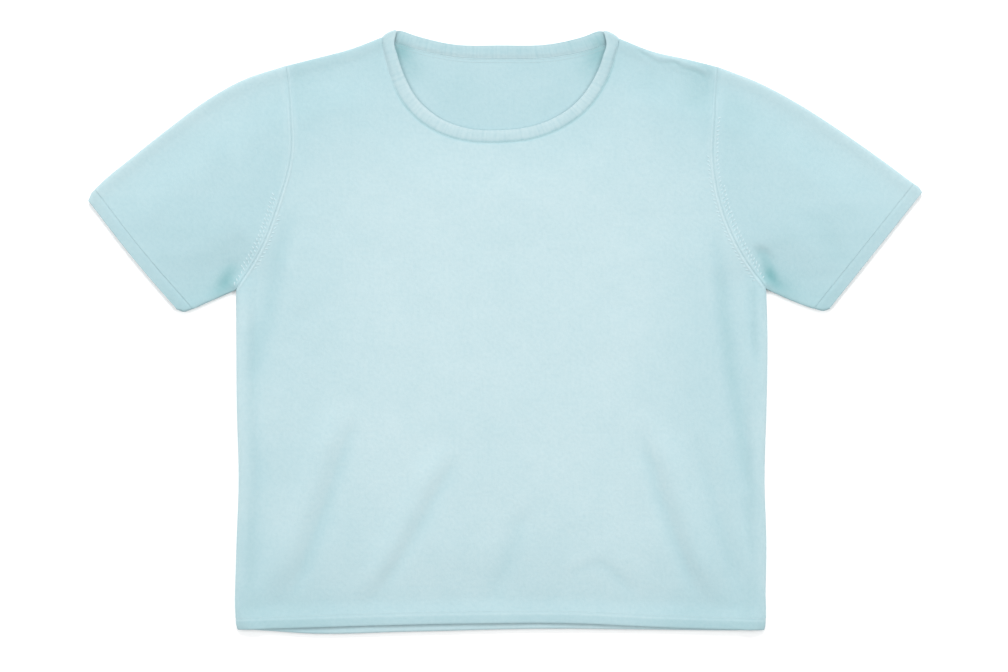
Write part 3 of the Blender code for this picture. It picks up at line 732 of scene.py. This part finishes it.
def knitMaterial(name, shade, rungs=0.0):
    material, tree, surface = plainMaterial(name, knit["roughness"])
    maths = mathsIn(tree)
    surface.inputs["Sheen Weight"].default_value = knit["sheen"]
    surface.inputs["Sheen Roughness"].default_value = knit["sheenRoughness"]
    surface.inputs["Sheen Tint"].default_value = (*knit["sheenTint"], 1)
    uv = addNode(tree, "ShaderNodeUVMap", {}, uv_map="knit")
    stitches = addNode(tree, "ShaderNodeGroup", {0: uv}, node_tree=stitchPattern)
    sockets = {"Vector": uv, "Scale": knit["unevenness"], "Detail": 2, "Roughness": 0.5}
    mottle = addNode(tree, "ShaderNodeTexNoise", sockets)
    amount = maths("MULTIPLY_ADD", stitches, knit["stitchShare"], mottle)
    if rungs:  # uneven ribs along U
        place = addNode(tree, "ShaderNodeSeparateXYZ", {0: uv})
        sockets = {"W": place, "Scale": 1 / (knit["rungPitch"] * mm), "Detail": 1}
        ribs = addNode(tree, "ShaderNodeTexNoise", sockets, noise_dimensions="1D")
        amount = maths("MULTIPLY_ADD", maths("SUBTRACT", ribs, 0.5), rungs, amount)
    tops = colourRamp(tree, amount, [(0.25, knit["between"]), (0.95, (1, 1, 1))])
    # The tone attribute paints shade and highlights into the cloth's colour, beside its random unevenness
    tone = addNode(tree, "ShaderNodeAttribute", {}, "Fac", attribute_name="tone")
    least, most = knit["toneColours"][0][0], knit["toneColours"][-1][0]
    share = addNode(tree, "ShaderNodeMapRange", {"Value": tone, "From Min": least, "From Max": most}, "Result")
    stops = [((at - least) / (most - least), [shade * part for part in colour]) for at, colour in knit["toneColours"]]
    sockets = {0: 1, 6: colourRamp(tree, share, stops), 7: tops}
    shaded = addNode(tree, "ShaderNodeMix", sockets, 2, data_type="RGBA", blend_type="MULTIPLY")
    textured(tree, surface, shaded, amount, knit)
    return material


def yarnMaterial(name, shade):
    material, tree, surface = plainMaterial(name, yarn["roughness"])
    place = addNode(tree, "ShaderNodeTexCoord", {}, "Object")
    fibres = addNode(tree, "ShaderNodeTexNoise", {"Vector": place, "Scale": yarn["fibres"], "Detail": 2})
    stops = [(at, [shade * amount for amount in yarn[part]]) for at, part in ((0.3, "shade"), (0.7, "colour"))]
    textured(tree, surface, colourRamp(tree, fibres, stops), fibres, yarn)
    return material


stitchPattern = stitchRelief()
panelKnit = knitMaterial("panelKnit", 1.0)
bandKnit = knitMaterial("bandKnit", 0.96)
ribbedKnit = knitMaterial("ribbedKnit", 0.97, rungs=1.0)
seamYarn = yarnMaterial("seamYarn", 1.0)
hemYarn = yarnMaterial("hemYarn", yarn["inHem"])
# A darker copy of the yarn, painted shade for the stitches inside the neck
shadedInnerYarn = yarnMaterial("shadedInnerYarn", yarn["insideNeck"])


def dressed(piece, node, material, flat, area, restsOn):
    piece.data.materials.append(material)
    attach(piece, root)
    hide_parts(node)


# Body panels

panel = {
    "width": 504,
    "length": 636,  # up the side, the armhole and the shoulder
    "jointShares": (0.51, 0.85),  # of that length, at the underarm and the shoulder point
    "edgeSteps": {
        "upper": (0, 0.08, 0.3, 0.64, 1.1, 1.6, 2.2, 3.0, 4.0, 5.5, 7.5, 10, 13, 16.5),
        "lower": (0, 0.1, 0.35, 0.7, 1.1, 1.6, 2.6, 4.5, 8, 13),
    },
    "seamSteps": {
        "upper": (0, 0.03, 0.07, 0.14, 0.5, 1.0, 1.6, 2.4, 3.6, 5.2, 7.2),
        "lower": (0, 0.1, 0.22, 0.7, 2, 5),
    },
    "spacing": {"upper": 3.0, "lower": 5.5},
    "frontFlat": ((0.504, 0.545), 0.237),  # size and area of what shows, in metres
    "backFlat": ((0.504, 0.560), 0.252),
}


def evenly(start, end, size, spacing):
    count = max(1, round((end - start) * size / spacing))
    return np.linspace(start, end, count + 1)[1:]


def sharesAcross(steps, size, spacing, knots=()):  # steps in from both ends, in mm, and evenly between them
    near = np.array(steps) / size
    knots = [near[-1], *knots, 1 - near[-1]]
    spans = [evenly(start, end, size, spacing) for start, end in zip(knots, knots[1:])]
    return np.concatenate([near, *spans[:-1], spans[-1][:-1], 1 - near[::-1]])


def columnShares(piece, layer):
    return sharesAcross(piece["edgeSteps"][layer], piece["width"], piece["spacing"][layer])


def rowShares(layer):
    return sharesAcross(panel["seamSteps"][layer], panel["length"], panel["spacing"][layer], panel["jointShares"])


def bodyPanel(name, layer, hemEdge, neckSeam, height):
    gap = seams["gap"] / 2
    edges = turnedEdges["wall"]
    loop = trimmedLoop(
        movedSideways(hemEdge, seams["hemWidth"] + gap),
        edges["sideLeft"],
        movedSideways(armholes["Left"], gap),
        edges["shoulderLeft"],
        movedSideways(neckSeam, -gap)[::-1],
        edges["shoulderRight"][::-1],
        movedSideways(armholes["Right"], -gap)[::-1],
        edges["sideRight"][::-1],
    )
    hem, sideLeft, armholeLeft, shoulderLeft, neckEdge, shoulderRight, armholeRight, sideRight = loop
    shares = panel["jointShares"]
    last = joinedSide(sideLeft, armholeLeft, shoulderLeft, shares=shares)
    first = joinedSide(sideRight[::-1], armholeRight[::-1], shoulderRight[::-1], shares=shares)
    v, u = np.meshgrid(rowShares(layer), columnShares(panel, layer), indexing="ij")
    plan = filledPatch(joinedSide(hem), joinedSide(neckEdge[::-1]), first, last, u, v)
    # The inside of the back is painted deeper, with painted shade in the hollows inside the neck
    tone = toneWithPaintedShade(plan) if layer == "upper" else toneWithPaintedShade(plan, dyeAndShading["inside"], dyeAndShading["insideHollows"], False)
    inArmhole = (v > shares[0]) & (v < shares[1])
    sideRim = np.where(inArmhole, cloth["seamRim"], cloth["freeRim"])
    rims = (sideRim, sideRim, cloth["seamRim"], cloth["seamRim"])
    return clothShell(name, lifted(plan, height(plan)), plan, cloth["wall"], tone, rims)


back = bodyPanel("backPanel", "lower", hemBackEdge, neckSeamBack, lowerHeight)
dressed(back, "back", panelKnit, *panel["backFlat"], ["floor"])
front = bodyPanel("frontPanel", "upper", hemFrontEdge, neckSeamFront, upperHeight)
dressed(front, "front", panelKnit, *panel["frontFlat"], ["backPanel"])
print("Body panels laid:", len(front.data.polygons) + len(back.data.polygons), "faces")


# Sleeves and cuffs

sleeve = {
    "width": 170,  # across the arm, where the steps in from the folds are counted
    "length": 185,
    "edgeSteps": {
        "upper": panel["edgeSteps"]["upper"][1:],
        "lower": (0.1, 0.35, 0.7, 1.1, 1.6, 2.6, 5, 10),
    },
    "seamSteps": (0, 0.03, 0.07, 0.14, 0.5, 0.9, 1.35, 1.8, 2.4, 3.2, 4.4, 6.4, 9),
    "cuffSteps": (0, 0.06, 0.16, 0.5, 1.0, 1.7, 2.6, 3.8, 5.2, 6.8, 8.4, 9.6, 10.2, 10.6, 11.0, 11.35, 11.6),
    "spacing": {"upper": 3.0, "lower": 7.0},
    "wristAngle": {"Right": 36.0, "Left": -36.5},  # the sleeve's axis from straight down, degrees
    "flat": ((0.40, 0.21), 0.052),  # size all round and area of what shows, in metres
    "cuffFlat": ((0.29, 0.0116), None),  # all of it shows
}


def flatTube(name, wall, start, end, hand, lengthwise, endRim):
    edges = turnedEdges[kindOf(wall)]
    under, over = edges["underarm" + hand], edges["overarm" + hand]
    start, over, end, under = trimmedLoop(start, over, end[::-1], under[::-1])
    lower, upper = columnShares(sleeve, "lower"), columnShares(sleeve, "upper")[::-1]
    u, v = np.meshgrid(np.concatenate([[0.0], lower, [1.0], upper]), lengthwise, indexing="ij")
    plan = filledPatch(joinedSide(start), joinedSide(end[::-1]), joinedSide(under[::-1]), joinedSide(over), u, v)
    height = upperHeight(plan, wall, 0.0)
    underSide = slice(1, 1 + len(lower))
    height[underSide] = lowerHeight(plan, wall, 0.0)[underSide]
    height[[0, 1 + len(lower)]] = cloth["turnMiddle"]
    angle = math.radians(sleeve["wristAngle"][hand])
    turned = plan @ np.array([[math.cos(angle), -math.sin(angle)], [math.sin(angle), math.cos(angle)]]).T
    rims = (cloth["seamRim"], endRim)
    # The sleeves are painted deeper all over, as painted shade
    return clothShell(name, lifted(plan, height), turned, wall, toneWithPaintedShade(plan, dyeAndShading["sleeve"]), rims, tube=True)


def laySleeve(hand):
    turn = 1 if hand == "Right" else -1
    gap = seams["gap"] / 2
    edge = cuffEdges[hand]
    lengthwise = sharesAcross(sleeve["seamSteps"], sleeve["length"], sleeve["spacing"]["upper"])
    armhole = movedSideways(armholes[hand], turn * gap)
    sleeveEnd = movedSideways(edge, -turn * (seams["cuffWidth"] + gap))
    cuffStart = movedSideways(edge, -turn * (seams["cuffWidth"] - gap))
    piece = flatTube("sleeve" + hand, cloth["wall"], armhole, sleeveEnd, hand, lengthwise, cloth["seamRim"])
    dressed(piece, "sleeve_" + hand.lower(), panelKnit, *sleeve["flat"], ["floor"])
    fromSeam = np.array(sleeve["cuffSteps"])
    lengthwise = fromSeam / fromSeam[-1]
    cuff = flatTube("cuff" + hand, bandWallFrom(fromSeam), cuffStart, edge, hand, lengthwise, cloth["freeRim"])
    dressed(cuff, "cuff_" + hand.lower(), bandKnit, *sleeve["cuffFlat"], ["floor"])


for hand in ("Right", "Left"):
    laySleeve(hand)
print("Sleeves and cuffs laid")


# Hem bands

hem = {
    "steps": (0, 0.12, 0.3, 0.55, 1.0, 1.7, 2.6, 3.8, 5.2, 6.6, 7.8, 8.8, 9.6, 10.5, 11.07, 11.14, 11.2),
    "flat": (0.504, 0.0112),
}


def hemBand(name, layer, edge, height):
    edges = turnedEdges["bandWall"]
    seam = movedSideways(edge, seams["hemWidth"] - seams["gap"] / 2)
    edge, sideLeft, seam, sideRight = trimmedLoop(edge, edges["sideLeft"], seam[::-1], edges["sideRight"][::-1])
    steps = np.array(hem["steps"])
    v, u = np.meshgrid(steps / steps[-1], columnShares(panel, layer), indexing="ij")
    ends = joinedSide(sideRight[::-1]), joinedSide(sideLeft)
    plan = filledPatch(joinedSide(edge), joinedSide(seam[::-1]), *ends, u, v)
    fromSeam = (steps[-1] - steps)[:, None]
    wall = bandWallFrom(fromSeam)
    # Painted highlight lines along the hem seam, with painted shade and light on the bands
    seamHighlights = sum(deeper * bell((fromSeam - at) / width) for at, width, deeper in dyeAndShading["hemLines"])
    tone = toneWithPaintedShade(plan) + dyeAndShading["hem"][layer] + seamHighlights
    rims = (cloth["freeRim"], cloth["freeRim"], cloth["hemRim"], cloth["seamRim"])
    return clothShell(name, lifted(plan, height(plan, wall)), plan, wall, tone, rims)


hemBack = hemBand("hemBack", "lower", hemBackEdge, lowerHeight)
dressed(hemBack, "hem_back", bandKnit, hem["flat"], None, ["floor"])
hemFront = hemBand("hemFront", "upper", hemFrontEdge, upperHeight)
dressed(hemFront, "hem_front", bandKnit, hem["flat"], None, ["hemBack"])
print("Hem bands laid")


# Neckband


def neckbandTone(plan, across, onBack):
    band, highlight = dyeAndShading["neckband"], dyeAndShading["neckHighlight"]
    # Painted shade on the back of the band, which lies inside the neck, and behind the neck points
    base = band["front"] + (band["back"] - band["front"]) * onBack
    base += band["backSeam"] * onBack * (1 - smooth(across / band["backSeamReach"]))
    for *place, deeper in dyeAndShading["behindTips"]:
        base += deeper * onBack * hollowAt(plan, *place)
    size, seed, amount = dyeAndShading["neckUneven"]
    base += amount * unevenness(plan, size, seed)
    return toneWithPaintedShade(plan, base) - highlight["paler"] * bell((across - highlight["at"]) / highlight["width"])


def layNeckband():
    down, up = neckTurnLeft[1:-1], neckTurnRight[-2:0:-1]
    sections = np.vstack([neckFront, down, neckBack[::-1], up])
    seam, edge, height = sections[:, :2], sections[:, 2:4], sections[:, 4]
    panelHeight = height.copy()  # the band's seam lies level with the cloth, away from the neck points
    backStart = len(neckFront) + len(down)
    for start, path, heightOf in ((0, neckFront, upperHeight), (backStart, neckBack[::-1], lowerHeight)):
        part = slice(start, start + len(path))
        away = lengthsOf(path)
        away = smooth(np.minimum(away, away[-1] - away) / neck["levelBy"])
        panelHeight[part] += away * (heightOf(path[None, :, :2])[0] - height[part])
    width = np.hypot(*(edge - seam).T)[:, None]
    seam = seam + (edge - seam) * seams["gap"] / (2 * width)
    across = np.array(neck["acrossSteps"])
    plan = seam[:, None] + across[:, None] * (edge - seam)[:, None]
    outward = np.stack([-(edge - seam)[:, 1], (edge - seam)[:, 0]], axis=-1) / width
    outward *= np.sign(outward[:, 1:])
    plan += (sections[:, 5:] * np.sin(math.pi * across))[..., None] * outward[:, None]
    level = 1 - smooth(across / neck["levelAcross"])
    bulge = neck["bulge"] * np.sin(math.pi * across) ** 2
    middle = height[:, None] + level * (panelHeight - height)[:, None] + bulge
    run = np.column_stack([(seam + edge) / 2, height])
    travelled = np.concatenate([[0.0], np.cumsum(np.linalg.norm(np.diff(run, axis=0), axis=1))])
    uv = np.stack(np.broadcast_arrays(travelled[:, None], across * width), axis=-1)
    onBack = np.zeros(plan.shape[:2])
    onBack[backStart : backStart + len(neckBack)] = 1
    wall, rims = bandWallFrom(across * neck["width"]), (cloth["seamRim"], cloth["freeRim"])
    return clothShell("neckRing", lifted(plan, middle), uv, wall, neckbandTone(plan, across, onBack), rims, tube=True)


dressed(layNeckband(), "neckband", ribbedKnit, neck["flat"], None, ["frontPanel", "backPanel"])
print("Neckband laid")


# Stitches along the seams, and the marks beside the armholes

sewing = {
    "linking": {
        "Pitch": 1.3, "Length": 1.2, "Width": 0.5, "Height": 0.5,
        "Slant": 30.0, "Alternate": 1.0, "Uneven": 8.0, "Seed": 5,
    },
    "chain": {
        "Pitch": 1.5, "Length": 1.3, "Width": 0.42, "Height": 0.35,
        "Slant": 0.0, "Alternate": 0.0, "Uneven": 5.0, "Seed": 8,
    },
    "hemming": {
        "Pitch": 1.3, "Length": 1.7, "Width": 0.4, "Height": 0.3,
        "Slant": 4.0, "Alternate": 1.0, "Uneven": 3.0, "Seed": 9,
    },
    "marks": {"Pitch": 4.0, "Length": 4.3, "Width": 1.3, "Height": 0.9, "Alternate": 0.0, "Uneven": 20.0},
    "lengths": {"Pitch", "Length", "Width", "Height"},
    "angles": {"Slant", "Uneven"},
    "sunk": {"linking": 0.1, "chain": 0.05, "hemming": 0.12, "marks": 0.1},  # into the cloth, mm
    "rows": {  # from and to as shares of the seam, points
        "armholes": (0.01, 0.985, 180),
        "neck": (0.02, 0.98, 220),
        "insideNeck": (0.04, 0.96, 160),
        "hem": (0.006, 0.994, 240),
    },
    "insideRows": (1.3, 4.0),  # below the back neck seam
    "markSpans": [  # hand, from and to as shares from the underarm up, offset from the seam, slant
        ("Right", 0.02, 0.42, 4.2, 50), ("Right", 0.10, 0.44, 7.4, 50), ("Right", 0.12, 0.36, -4.2, -50),
        ("Left", 0.05, 0.78, -4.0, -50), ("Left", 0.10, 0.48, -7.2, -50), ("Left", 0.06, 0.62, 4.2, 50),
    ],
    "markPoints": 60,
    "markSeeds": 20,
}


def stitchNodes():
    tree = bpy.data.node_groups.new("seamStitches", "GeometryNodeTree")
    tree.interface.new_socket("Seam", in_out="INPUT", socket_type="NodeSocketGeometry")
    kinds = dict.fromkeys(("Pitch", "Length", "Width", "Height", "Slant", "Alternate", "Uneven"), "Float")
    for name, kind in {**kinds, "Seed": "Int", "Yarn": "Material"}.items():
        tree.interface.new_socket(name, in_out="INPUT", socket_type="NodeSocket" + kind)
    tree.interface.new_socket("Stitches", in_out="OUTPUT", socket_type="NodeSocketGeometry")
    given = tree.nodes.new("NodeGroupInput").outputs
    leave = tree.nodes.new("NodeGroupOutput")
    node, maths = functools.partial(addNode, tree), mathsIn(tree)

    seam = node("GeometryNodeMeshToCurve", {"Mesh": given["Seam"]})
    points = node("GeometryNodeResampleCurve", {"Curve": seam, "Length": given["Pitch"]}, mode="LENGTH")
    bead = node("GeometryNodeMeshUVSphere", {"Segments": 7, "Rings": 5, "Radius": 0.5})
    rounded = node("GeometryNodeSetShadeSmooth", {0: bead})
    along = {"Vector": node("GeometryNodeInputTangent", {})}
    turned = node("FunctionNodeAlignRotationToVector", along, axis="X", pivot_axis="Z")
    flip = maths("MULTIPLY", maths("MODULO", node("GeometryNodeInputIndex", {}), 2.0), 2.0)
    side = maths("SUBTRACT", 1.0, maths("MULTIPLY", flip, given["Alternate"]))
    chance = node("FunctionNodeRandomValue", {2: -1.0, 3: 1.0, "Seed": given["Seed"]}, 1)
    angle = maths("ADD", maths("MULTIPLY", side, given["Slant"]), maths("MULTIPLY", chance, given["Uneven"]))
    slanted = node("FunctionNodeAxisAngleToRotation", {"Axis": (0, 0, 1), "Angle": angle})
    rotation = node("FunctionNodeRotateRotation", {0: turned, 1: slanted}, rotation_space="LOCAL")
    size = node("ShaderNodeCombineXYZ", {0: given["Length"], 1: given["Width"], 2: given["Height"]})
    sockets = {"Points": points, "Instance": rounded, "Rotation": rotation, "Scale": size}
    real = node("GeometryNodeRealizeInstances", {0: node("GeometryNodeInstanceOnPoints", sockets)})
    finished = node("GeometryNodeSetMaterial", {"Geometry": real, "Material": given["Yarn"]})
    tree.links.new(finished, leave.inputs[0])
    return tree


def sewn(name, paths, kind, slot, thread=seamYarn, **changes):
    points, edges = [], []
    for path in paths:
        edges += [(len(points) + k, len(points) + k + 1) for k in range(len(path) - 1)]
        points += (path * mm).tolist()
    mesh = bpy.data.meshes.new(name)
    mesh.from_pydata(points, edges, [])
    guide = newObject(name + "Guide", mesh)
    modifier = guide.modifiers.new("Stitches", "NODES")
    modifier.node_group = stitchTree
    values = {**sewing[kind], **changes, "Yarn": thread}
    for item in stitchTree.interface.items_tree:
        if item.name in values:
            value = values[item.name]
            value = value * mm if item.name in sewing["lengths"] else value
            modifier[item.identifier] = math.radians(value) if item.name in sewing["angles"] else value
    made = bpy.data.meshes.new_from_object(guide.evaluated_get(bpy.context.evaluated_depsgraph_get()))
    guide.modifiers.clear()
    bpy.data.objects.remove(guide)
    piece = newObject(name, made)
    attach(piece, root)
    return piece


def rowAlong(seam, name):
    return alongPath(seam, np.linspace(*sewing["rows"][name]))


def onTop(plan, kind, heightOf=upperHeight):
    return lifted(plan, heightOf(plan) + cloth["wall"] / 2 - sewing["sunk"][kind])


stitchTree = stitchNodes()
armholeRows = [onTop(rowAlong(seam, "armholes"), "linking") for seam in armholes.values()]
neckRow = onTop(rowAlong(neckFront[:, :2], "neck"), "linking")
insideRows = [rowAlong(movedSideways(neckBack[:, :2], -offset), "insideNeck") for offset in sewing["insideRows"]]
insideRows = [onTop(row, "chain", lowerHeight) for row in insideRows]
hemRow = onTop(rowAlong(movedSideways(hemFrontEdge, seams["hemWidth"]), "hem"), "hemming")
stitches = {
    "armholes": sewn("armholeStitches", armholeRows, "linking", "front"),
    "neck": sewn("neckStitches", [neckRow], "linking", "neckband"),
    "insideNeck": sewn("insideNeckStitches", insideRows, "chain", "back", shadedInnerYarn),
    "hem": sewn("hemStitches", [hemRow], "hemming", "hem_front", hemYarn),
}
for hand, start, end, offset, slant in sewing["markSpans"]:
    row = alongPath(movedSideways(armholes[hand], offset), np.linspace(start, end, sewing["markPoints"]))
    name = f"marks{hand}{1 + sum(key.startswith('marks' + hand) for key in stitches)}"
    seed = sewing["markSeeds"] + len(stitches)
    stitches[name] = sewn(name, [onTop(row, "marks")], "marks", "front", Slant=slant, Seed=seed)
print("Seams sewn:", sum(len(piece.data.polygons) for piece in stitches.values()), "faces")


# Floor, light and camera

studio = {
    "floorSize": 40.0,
    "floorDrop": 0.0003,
    "floorColour": (0.97, 0.97, 0.97),
    "skyStrength": 0.50,
    "side": {"energy": 26.3, "size": 1.5, "place": (1.8, 0.0, 1.8)},
    "top": {"energy": 238.0, "size": 2.0, "place": (0.0, 4.7, 3.4)},
    "lens": 85.0,
    "sensor": 36,
    "frameWidth": 0.9576,  # of the picture, on the floor
    "centre": (-0.0005, -0.0038),
}


def softLight(name, style, side=1):
    light = bpy.data.lights.new(name, "AREA")
    light.shape = "SQUARE"
    light.size = style["size"]
    light.energy = style["energy"]
    x, y, z = style["place"]
    lamp = newObject(name, light)
    lamp.location = (side * x, y, z)
    lamp.rotation_euler = (-lamp.location).to_track_quat("-Z", "Y").to_euler()


def dressStudio():
    half, drop = studio["floorSize"] / 2, studio["floorDrop"]
    corners = [(x * half, y * half, -drop) for x, y in ((-1, -1), (1, -1), (1, 1), (-1, 1))]
    mesh = bpy.data.meshes.new("floor")
    mesh.from_pydata(corners, [], [(0, 1, 2, 3)])
    floor = newObject("floor", mesh)
    paper, _, surface = plainMaterial("palePaper", 0.9, 0.1)
    surface.inputs["Base Color"].default_value = (*studio["floorColour"], 1)
    mesh.materials.append(paper)
    world = bpy.data.worlds.new("studio")
    bpy.context.scene.world = world
    world.use_nodes = True
    sky = world.node_tree.nodes["Background"]
    sky.inputs[0].default_value = (1, 1, 1, 1)
    sky.inputs[1].default_value = studio["skyStrength"]
    softLight("lampLeft", studio["side"], -1)
    softLight("lampRight", studio["side"])
    softLight("lampTop", studio["top"])
    camera = newObject("camera", bpy.data.cameras.new("camera"))
    camera.data.lens = studio["lens"]
    camera.data.sensor_width = studio["sensor"]
    camera.location = (*studio["centre"], studio["frameWidth"] * studio["lens"] / studio["sensor"])
    bpy.context.scene.camera = camera
    bpy.context.scene.view_settings.view_transform = "Standard"


dressStudio()
print("Studio lit")
